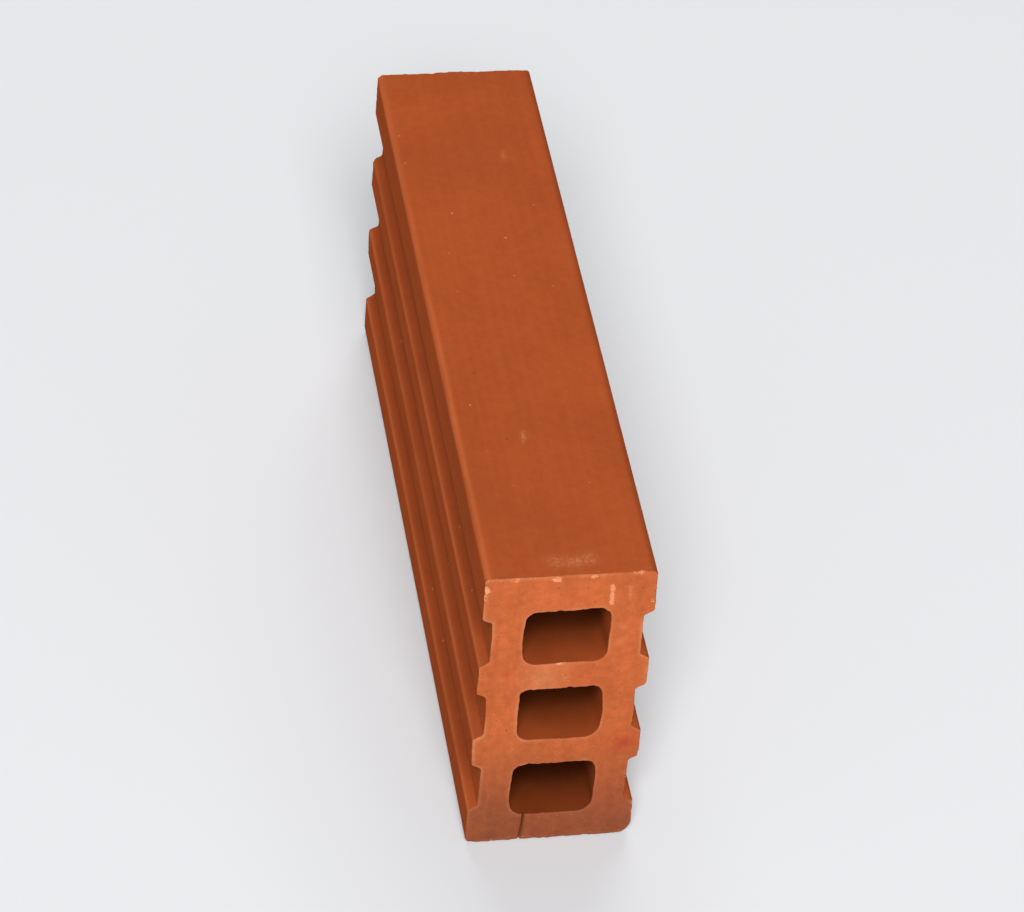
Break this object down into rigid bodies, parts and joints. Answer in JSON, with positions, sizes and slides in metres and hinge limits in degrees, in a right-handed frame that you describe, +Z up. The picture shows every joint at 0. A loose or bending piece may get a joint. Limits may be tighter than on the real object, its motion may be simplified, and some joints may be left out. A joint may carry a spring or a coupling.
{
  "type": "terracotta facade tile",
  "caption": "Hollow extruded clay block with a row of rectangular cells and mortar grooves along both flanks.",
  "frame": {"origin": "centre of the narrow face that the tile stands on", "axes": "+Z up the tile's height, +Y along the extrusion and its cells, +X across its thickness"},
  "size_m": [0.052, 0.25, 0.11],
  "materials": {
    "fired_clay": "unglazed fired terracotta, smooth where the die slid over it and grainy where the wire cut it"
  },
  "bodies": {
    "root": {"facade_tile": "fired_clay"}
  },
  "joints": []
}
